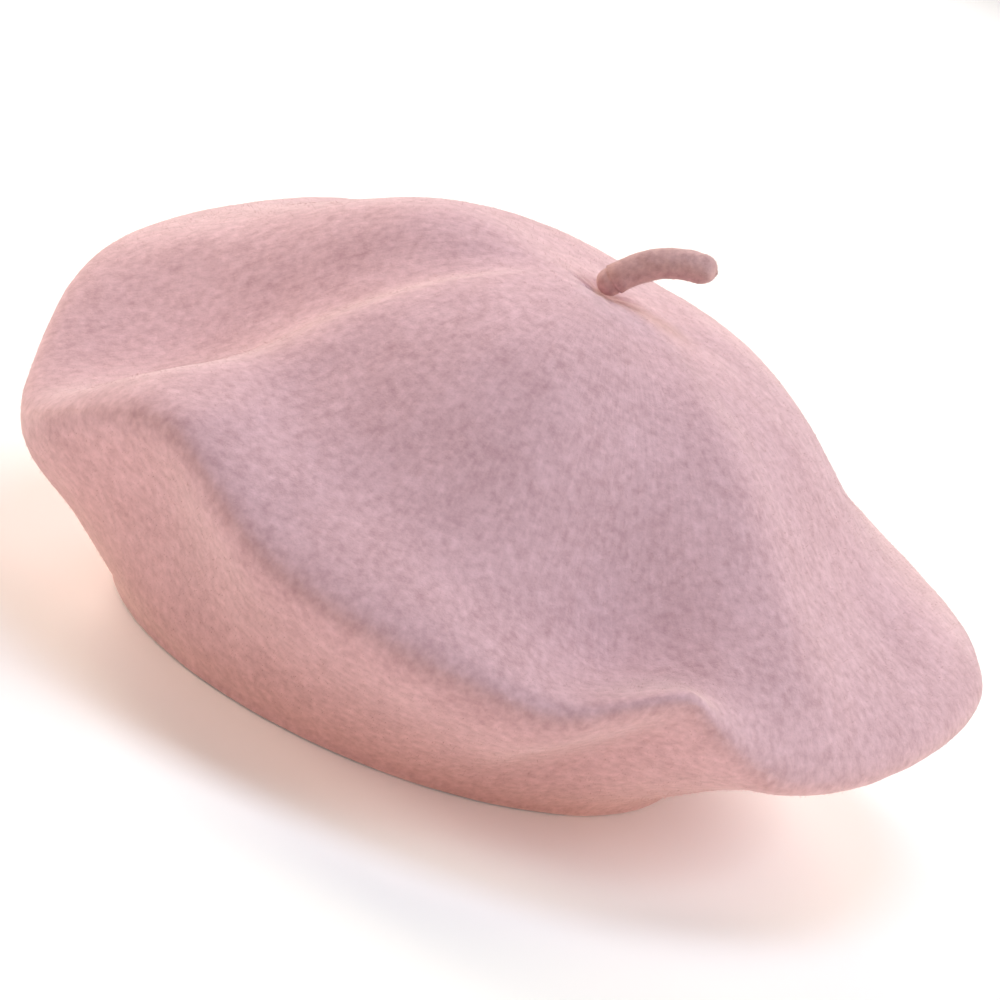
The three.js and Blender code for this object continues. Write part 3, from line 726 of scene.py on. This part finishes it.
# %% Weave node group
def build_weave_group():
    tree, ends, out, link = new_pattern(
        "weave", {"Threads Round": 600.0, "Threads Across": 60.0, "Share": 0.5}, ("Cut",))
    axes = tree.nodes.new("ShaderNodeSeparateXYZ")
    link(ends.outputs["Cut"], axes.inputs[0])

    def threads(axis, count):
        turns = node(tree, "ShaderNodeMath", operation="MULTIPLY")
        link(axis, turns.inputs[0])
        link(count, turns.inputs[1])
        phase = node(tree, "ShaderNodeMath", operation="MULTIPLY")
        link(turns.outputs[0], phase.inputs[0])
        phase.inputs[1].default_value = 2 * math.pi
        wave = node(tree, "ShaderNodeMath", operation="SINE")
        link(phase.outputs[0], wave.inputs[0])
        half = node(tree, "ShaderNodeMath", operation="MULTIPLY_ADD")
        link(wave.outputs[0], half.inputs[0])
        half.inputs[1].default_value = 0.5
        half.inputs[2].default_value = 0.5
        return half.outputs[0]

    woven = tree.nodes.new("ShaderNodeMix")
    link(ends.outputs["Share"], woven.inputs["Factor"])
    link(threads(axes.outputs["X"], ends.outputs["Threads Round"]), woven.inputs["A"])
    link(threads(axes.outputs["Y"], ends.outputs["Threads Across"]), woven.inputs["B"])
    stretch = node(tree, "ShaderNodeMapping")
    stretch.inputs["Scale"].default_value = (260, 9, 1)
    link(ends.outputs["Cut"], stretch.inputs["Vector"])
    uneven_threads = node(tree, "ShaderNodeTexNoise", Scale=1.0, Detail=3.0, Roughness=0.6)
    link(stretch.outputs[0], uneven_threads.inputs["Vector"])
    tone = node(tree, "ShaderNodeMath", operation="MULTIPLY_ADD")
    link(woven.outputs["Result"], tone.inputs[0])
    tone.inputs[1].default_value = 0.45
    shade = node(tree, "ShaderNodeMath", operation="MULTIPLY")
    link(uneven_threads.outputs[0], shade.inputs[0])
    shade.inputs[1].default_value = 0.55
    link(shade.outputs[0], tone.inputs[2])
    link(tone.outputs[0], out.inputs["Tone"])
    link(woven.outputs["Result"], out.inputs["Height"])
    return tree


weave = build_weave_group()


def cloth_material(name, dark, light, threads_round, threads_across, share, roughness, sheen, depth):
    values = {"Threads Round": threads_round, "Threads Across": threads_across, "Share": share}
    material, shader = patterned_material(name, weave, values, dark, light, 0.5, depth)
    shader.inputs["Roughness"].default_value = roughness
    shader.inputs["Sheen Weight"].default_value = sheen
    return material


satin = cloth_material("rose_satin", (0.46, 0.22, 0.24), (0.68, 0.39, 0.41), 2400, 900, 0.25,
                       0.36, 0.1, 0.00005)
ribbon = cloth_material("rose_grosgrain", (0.36, 0.15, 0.17), (0.56, 0.28, 0.31), 544, 60, 0.3,
                        0.6, 0.15, 0.0001)
bow_tape = cloth_material("bow_satin", (0.36, 0.15, 0.17), (0.60, 0.30, 0.33), 300, 60, 0.6,
                          0.42, 0.1, 0.00006)
braid = cloth_material("elastic_braid", (0.62, 0.55, 0.51), (0.88, 0.80, 0.76), 360, 8, 0.5,
                       0.8, 0.1, 0.0002)
label_tape = cloth_material("label_satin", (0.74, 0.69, 0.64), (0.90, 0.86, 0.81), 120, 140, 0.5,
                            0.45, 0.05, 0.00004)
yarn = cloth_material("yarn", (0.50, 0.23, 0.25), (0.76, 0.42, 0.45), 2, 6, 0.7, 0.65, 0.2, 0.0001)

# %% [markdown]
# ## Lining
# The lining is satin in two pieces, a round one for the crown and a ring for the underside, sewn
# together inside the rim. It is cut a little large, so it hangs 7 mm inside the felt in small gathers
# that start at the seam and die out towards the crown. Cloth simulation could hang it, but the gathers
# have to stay in the space between the felt and the head, so they are drawn as waves of the sheet.

# %% Lining
LINING_INSET = 7
LINING_THICKNESS = 0.6
SEAM_STATION = 7.5
GATHERS = 54
GATHER_DEPTH = 1.1


def lining_rows(stations, strength):
    """Outer and inner rows of a lining piece. Strength is the gathers' share of their full depth."""
    outer = surface(azimuths, stations, LINING_INSET)
    normals = surface_normals(azimuths, stations, LINING_INSET)
    wave = 0.5 - 0.5 * np.cos(np.radians(azimuths * GATHERS) + 1.3 * np.sin(np.radians(azimuths * 5)))
    depth = np.asarray(strength)[:, None] * wave * GATHER_DEPTH
    outer = outer - normals * depth[..., None]
    inner = outer - normals * LINING_THICKNESS
    return outer, inner


crown_stations = np.linspace(0, SEAM_STATION - 0.2, 56)[1:]
crown_strength = np.clip((crown_stations - 3.5) / 3.2, 0, 1) ** 1.5
outer, inner = lining_rows(crown_stations, crown_strength)
lining_pole = surface(np.array([0.0]), [0], LINING_INSET)[0]
lean = unit(np.array([TOP_LEAN, 0, 1.0]))
lining_crown = rows_mesh("crown_lining", [lining_pole, *outer, *inner[::-1],
                                          lining_pole - lean * LINING_THICKNESS])
finish_piece(lining_crown, satin, "hat", "lining_satin", "lining_crown")

side_stations = np.linspace(SEAM_STATION + 0.2, 12.6, 44)
side_strength = np.clip((11.4 - side_stations) / 3.5, 0, 1) * 0.8
outer, inner = lining_rows(side_stations, side_strength)
lining_side = rows_mesh("side_lining", [*outer, *inner[::-1]], loop=True)
finish_piece(lining_side, satin, "hat", "lining_satin", "lining_side")

# %% Lining seam
SEAM_ALLOWANCE = 3.5
SEAM_START = 1.6
SEAM_LEAN = 0.64
SEAM_SIDE = 0.25


def seam_rows():
    """The two seam allowances pressed together, their cut edge in small waves."""
    seam = surface(azimuths, [SEAM_STATION], LINING_INSET)[0]
    above = surface(azimuths, [SEAM_STATION - 1], LINING_INSET)[0]
    below = surface(azimuths, [SEAM_STATION + 1], LINING_INSET)[0]
    inwards = unit(above + (below - above) * SEAM_LEAN - seam)
    across = above - below
    across = unit(across - inwards * (across * inwards).sum(-1, keepdims=True))
    sway = 0.18 * np.sin(np.radians(azimuths * 72))
    rows = []
    outline = [(0, 1), (0, -1), (0.4, -1), (0.8, -1), (1, -1), (1, 1), (0.8, 1), (0.4, 1)]
    for depth, side in outline:
        shift = side * SEAM_SIDE + sway * depth
        place = seam + inwards * (SEAM_START + SEAM_ALLOWANCE * depth)
        rows.append(place + across * np.reshape(shift, (-1, 1)))
    return rows


lining_seam = rows_mesh("lining_seam_allowance", seam_rows(), loop=True)
finish_piece(lining_seam, satin, "hat", "lining_satin", "lining_seam")

# %% [markdown]
# ## Sweatband
# A grosgrain ribbon runs round the head opening. Its lower edge is sewn to the felt, and its upper edge
# is folded outwards over the sizing elastic. Grosgrain has a rib every millimetre across its width.
# The ribs are in the mesh as well as in the weave, because they catch the light on the band's curve.

# %% Sweatband
BAND_BOTTOM = 0.8
BAND_TOP = 26.8
BAND_INNER = 85.4
BAND_PLY = 0.9
PLY_GAP = 3.0  # between the middles of the folded edge's two plies
RIBS = 544
RIB_DEPTH = 0.06
CASING_DEPTH = 10


def band_line():
    """Radius, height and outward normal along the ribbon's middle, from its sewn edge over the fold."""
    near = BAND_INNER + BAND_PLY / 2
    turn = BAND_TOP - PLY_GAP / 2 - BAND_PLY / 2
    line = [(near, z, -1.0, 0.0) for z in np.linspace(BAND_BOTTOM, turn, 12)]
    for angle in np.radians(np.linspace(180, 0, 9)[1:-1]):
        line.append((near + PLY_GAP / 2 + PLY_GAP / 2 * math.cos(angle), turn + PLY_GAP / 2 * math.sin(angle),
                     math.cos(angle), math.sin(angle)))
    line += [(near + PLY_GAP, z, 1.0, 0.0) for z in np.linspace(turn, BAND_TOP - CASING_DEPTH, 6)]
    return line


def ring_row(radius, height, count, ripple=0.0, ripples=0):
    """A row round the opening's axis, in millimetres, with ripples in its radius."""
    angle = np.arange(count) * 2 * math.pi / count
    r = radius + ripple * np.cos(angle * ripples)
    return np.stack([r * np.cos(angle), r * np.sin(angle), height + 0 * angle], axis=-1)


def band_rows():
    line = band_line()
    rows = []
    for side, points in ((1, line), (-1, line[::-1])):
        for radius, height, out, up in points:
            rows.append(ring_row(radius + side * out * BAND_PLY / 2, height + side * up * BAND_PLY / 2,
                                 2 * RIBS, side * out * RIB_DEPTH, RIBS))
    return rows


sweatband = rows_mesh("grosgrain_band", band_rows(), loop=True)
finish_piece(sweatband, ribbon, "hat", "ribbon", "sweatband")

# %% Sizing elastic
ELASTIC_MIDDLE = BAND_INNER + BAND_PLY / 2 + PLY_GAP / 2
ELASTIC_BOTTOM = 18.6


def elastic_rows():
    """A flat braid of five cords, 5 mm wide and 1 mm thick."""
    rows = []
    for side in (1, -1):
        for k in range(21)[::side]:
            height = ELASTIC_BOTTOM + k * 0.25
            bulge = 0.32 + 0.14 * abs(math.sin(math.pi * k / 4))
            rows.append(ring_row(ELASTIC_MIDDLE - side * bulge, height, 720, 0.03, 360))
    return rows


elastic = rows_mesh("sizing_braid", elastic_rows(), loop=True)
finish_piece(elastic, braid, "hat", "elastic", "sizing_elastic")

# %% [markdown]
# ## Stitches
# Two rows of machine stitches hold the band: one sews it to the felt and one closes the fold. A single
# stitch is modelled once, as a short thread that dives into the ribbon at both ends, and copied round
# the hat. A tube all the way round would look like piping.

# %% Stitches
STITCH_LENGTH = 3.1
STITCH_PITCH = 3.5
THREAD_RADIUS = 0.3


def model_stitch():
    """One stitch along X, at the origin, in millimetres, as arrays of points and faces."""
    bpy.ops.object.select_all(action="DESELECT")
    bpy.ops.mesh.primitive_cylinder_add(vertices=6, radius=THREAD_RADIUS, depth=STITCH_LENGTH,
                                        rotation=(0, math.pi / 2, 0), end_fill_type="TRIFAN")
    stitch = bpy.context.object
    bpy.ops.object.transform_apply(location=True, rotation=True, scale=True)
    bpy.ops.object.mode_set(mode="EDIT")
    bpy.ops.mesh.select_all(action="SELECT")
    for place in (-0.35, -0.2, 0.0, 0.2, 0.35):
        bpy.ops.mesh.select_all(action="SELECT")
        bpy.ops.mesh.bisect(plane_co=(place * STITCH_LENGTH, 0, 0), plane_no=(1, 0, 0))
    bpy.ops.object.mode_set(mode="OBJECT")
    for v in stitch.data.vertices:
        share = 2 * v.co.x / STITCH_LENGTH
        v.co.y += 0.34 * share**4
        v.co.z *= 1 - 0.35 * share**4
    points = np.array([v.co for v in stitch.data.vertices])
    faces = [list(p.vertices) for p in stitch.data.polygons]
    bpy.data.objects.remove(stitch)
    return points, faces


stitch_points, stitch_faces = model_stitch()


def stitch_row(name, frames):
    """One mesh of stitches. Each frame is an origin, its along, outward and up directions and a size."""
    points, faces = [], []
    for origin, along, outward, up, size in frames:
        start = len(points) * len(stitch_points)
        axes = np.array([along, outward, up])
        points.append(np.array(origin) + (stitch_points * [size, 1, 1]) @ axes)
        faces += [[start + i for i in face] for face in stitch_faces]
    points = np.concatenate(points)
    spots = points[[i for face in faces for i in face]] * MM
    turn = np.arctan2(spots[:, 1], spots[:, 0]) / (2 * math.pi)
    piece = mesh_piece(name, points, faces, np.stack([turn * 400, spots[:, 2] * 800], axis=1))
    print(name, len(frames), "stitches")
    return piece


def ring_frames(radius, height):
    """Frames of stitches round the opening's axis, each a little out of line as real ones are."""
    count = round(2 * math.pi * radius / STITCH_PITCH)
    frames = []
    for k in range(count):
        a = 2 * math.pi * k / count
        along = np.array([-math.sin(a), math.cos(a), 0.05 * math.sin(k * 2.4)])
        outward = np.array([math.cos(a), math.sin(a), 0])
        frames.append((outward * radius + np.array([0, 0, height + 0.06 * math.sin(k * 1.7)]),
                       along, outward, np.array([0, 0, 1]), 1 + 0.05 * math.sin(k * 3.1)))
    return frames


STITCH_RADIUS = BAND_INNER - 0.24
hem = stitch_row("hem_stitches", ring_frames(STITCH_RADIUS, BAND_BOTTOM + 3))
finish_piece(hem, yarn, "hat", "thread", "hem_stitching")
casing = stitch_row("casing_stitches", ring_frames(STITCH_RADIUS, BAND_TOP - 8.5))
finish_piece(casing, yarn, "hat", "thread", "casing_stitching")

# %% [markdown]
# ## Bow
# The small bow covers the join of the sweatband at the back of the head. It is one ribbon laid in two
# loops and drawn together by a wrap. Each loop is a curved strip, wider away from the waist, with
# creases that start where the wrap squeezes it; Solidify then gives it the ribbon's thickness.

# %% Bow
bow_low, bow_high = (Vector(corner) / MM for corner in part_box("band_bow"))
BOW_BACK = bow_high.y
BOW_MIDDLE = (bow_low.z + bow_high.z) / 2
BOW_REACH = 16.4
RIBBON_THICKNESS = 0.35


def strip_mesh(name, grid, thickness):
    """A thin strip from rows of points in millimetres, given its thickness by Solidify."""
    rows, columns = len(grid), len(grid[0])
    points = [p for row in grid for p in row]
    faces = [[r * columns + c, r * columns + c + 1, (r + 1) * columns + c + 1, (r + 1) * columns + c]
             for r in range(rows - 1) for c in range(columns - 1)]
    places = [((i // columns) / (rows - 1), (i % columns) / (columns - 1)) for f in faces for i in f]
    piece = mesh_piece(name, points, faces, places)
    bpy.ops.object.select_all(action="DESELECT")
    bpy.context.view_layer.objects.active = piece
    piece.select_set(True)
    solid = piece.modifiers.new("thickness", "SOLIDIFY")
    solid.thickness = thickness * MM
    solid.offset = 0
    bpy.ops.object.modifier_apply(modifier="thickness")
    print(name, len(piece.data.polygons), "faces")
    return piece


def bow_loop(side):
    """Rows of one loop: out along the back, round its end and back along the front."""
    grid = []
    for t in np.linspace(0, 1, 41):
        angle = math.pi * t
        out = BOW_REACH * math.sin(angle) ** 0.75
        depth = 1.55 - 1.15 * math.cos(angle) * min(1, 0.25 + out / 7)
        half = 2.2 + 4.0 * min(1, out / 9) ** 0.8 - 0.5 * max(0, out / BOW_REACH - 0.7)
        row = []
        for s in np.linspace(-1, 1, 21):
            crease = 0.32 * math.cos(s * math.pi * 3) * math.exp(-out / 5)
            row.append((side * (out + 0.5 * (1 - s * s)), BOW_BACK - depth - crease, BOW_MIDDLE + s * half))
        grid.append(row if side > 0 else row[::-1])
    return grid


loops = [strip_mesh("bow_loop_" + word, bow_loop(side), RIBBON_THICKNESS)
         for word, side in (("right", 1), ("left", -1))]
finish_piece(loops[0], bow_tape, "hat", "bow_ribbon", "band_bow")
finish_piece(loops[1], bow_tape, "hat", "bow_ribbon")

# %% Wrap round the bow's waist
bpy.ops.object.select_all(action="DESELECT")
bpy.ops.mesh.primitive_cube_add(size=1, location=(0, (BOW_BACK - 1.75) * MM, BOW_MIDDLE * MM))
wrap = bpy.context.object
wrap.name = "bow_wrap"
wrap.scale = (5.4 * MM, 3.7 * MM, 7.0 * MM)
bpy.ops.object.transform_apply(location=True, rotation=True, scale=True)
bpy.ops.object.mode_set(mode="EDIT")
bpy.ops.mesh.select_all(action="SELECT")
bpy.ops.mesh.bevel(offset=1.2 * MM, segments=4, affect="EDGES")
bpy.ops.mesh.select_all(action="SELECT")
bpy.ops.mesh.subdivide(number_cuts=3)
bpy.ops.object.mode_set(mode="OBJECT")
for v in wrap.data.vertices:
    pleat = 0.16 * math.cos(v.co.x / MM * 3.2)
    v.co.y += math.copysign(pleat * MM, v.co.y - (BOW_BACK - 1.75) * MM)
    v.co.x *= 1 + 0.12 * math.cos((v.co.z / MM - BOW_MIDDLE) * 0.9)
bpy.ops.object.shade_smooth()
finish_piece(wrap, bow_tape, "hat", "bow_ribbon", "bow_knot")

# %% [markdown]
# ## Labels
# Two blank labels hang from the band's top edge, each a length of satin tape folded in half with its
# cut ends sewn in. They can be flipped up, so each label rides on its own body, and the short end that
# is caught under the stitches is a separate tab that stays with the hat.

# %% Labels
def label_frame(azimuth):
    """Outward and sideways directions at an azimuth."""
    a = math.radians(azimuth)
    return np.array([math.cos(a), math.sin(a), 0]), np.array([-math.sin(a), math.cos(a), 0])


def make_label(name, azimuth, width, length, face, curl):
    """A folded label. Face is the distance of its back from the hat's axis, in millimetres."""
    outward, sideways = label_frame(azimuth)
    top = BAND_TOP - 1
    grid = []
    line = [(0.13, z) for z in np.linspace(0, -length + 0.3, 18)]
    line += [(0.13 * math.cos(a), -length + 0.3 - 0.25 * math.sin(a))
             for a in np.linspace(0, math.pi, 7)[1:-1]]
    line += [(-0.13, z) for z in np.linspace(-length + 0.3, 0, 18)]
    for shift, drop in line:
        bulge = curl * math.sin(math.pi * min(1, -drop / length)) ** 2
        row = []
        for s in np.linspace(-0.5, 0.5, 13):
            bend = 0.5 * curl * (2 * s) ** 2 * (-drop / length)
            place = outward * (face - 0.25 + shift - bulge - bend) + sideways * (s * width)
            row.append(place + np.array([0, 0, top + drop]))
        grid.append(row)
    return strip_mesh(name, grid, 0.14)


def make_tab(name, azimuth, width, face):
    """The label's sewn-in end: from the band's inner face to just before the label."""
    outward, sideways = label_frame(azimuth)
    grid = []
    for t in np.linspace(0, 1, 9):
        row = []
        for s in np.linspace(-0.5, 0.5, 13):
            wall = math.sqrt((BAND_INNER + 0.2) ** 2 - (s * width) ** 2)
            reach = wall + (face + 0.3 - wall) * t
            row.append(outward * reach + sideways * (s * width)
                       + np.array([0, 0, BAND_TOP - 0.85 + 0.45 * math.sin(math.pi * t) - 0.2 * t]))
        grid.append(row)
    return strip_mesh(name, grid, 0.24)


def tab_frames(azimuth, width):
    """A short row of stitches that holds a tab to the band."""
    outward, sideways = label_frame(azimuth)
    count = int(width / 3.2)
    frames = []
    for k in range(count):
        s = (k + 0.5) / count - 0.5
        wall = math.sqrt(BAND_INNER**2 - (s * width) ** 2)
        frames.append((outward * (wall - 0.55) + sideways * (s * width) + np.array([0, 0, BAND_TOP - 0.35]),
                       sideways, np.array([0, 0, -1.0]), outward, 0.8))
    return frames


for word, azimuth, width, length, curl in (("care", 180, 25, 22, 0.9), ("size", 125, 14, 13, 0.5)):
    face = math.sqrt(84.35**2 - (width / 2) ** 2) - 0.7
    label = make_label(word + "_tape", azimuth, width, length, face, curl)
    finish_piece(label, label_tape, word + "_label", "label_satin", word + "_label")
    tab = make_tab(word + "_tab", azimuth, width, face)
    finish_piece(tab, label_tape, "hat", "label_satin")
    row = stitch_row(word + "_tab_stitches", tab_frames(azimuth, width))
    finish_piece(row, yarn, "hat", "thread")

# %% [markdown]
# ## Knot under the crown
# The stalk's yarn comes through the felt and is knotted off underneath, out of sight above the lining:
# two flattened turns of yarn, one over the other.

# %% Yarn knot
knot_low, knot_high = (Vector(corner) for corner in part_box("stalk_knot"))
knot_centre = (knot_low + knot_high) / 2
turns = []
for tilt, turn in ((0.1, 0.0), (-0.12, 1.2)):
    bpy.ops.object.select_all(action="DESELECT")
    bpy.ops.mesh.primitive_torus_add(location=knot_centre, rotation=(tilt, 0, turn), major_segments=32,
                                     minor_segments=12, major_radius=1.9 * MM, minor_radius=1.0 * MM)
    turns.append(bpy.context.object)
    bpy.context.object.scale = (1.15, 0.85, 0.75)
    bpy.ops.object.transform_apply(location=True, rotation=True, scale=True)
bpy.ops.object.select_all(action="DESELECT")
for ring in turns:
    ring.select_set(True)
bpy.context.view_layer.objects.active = turns[0]
bpy.ops.object.join()
knot = turns[0]
knot.name = "yarn_knot"
bpy.ops.object.shade_smooth()
finish_piece(knot, yarn, "hat", "thread", "stalk_knot")
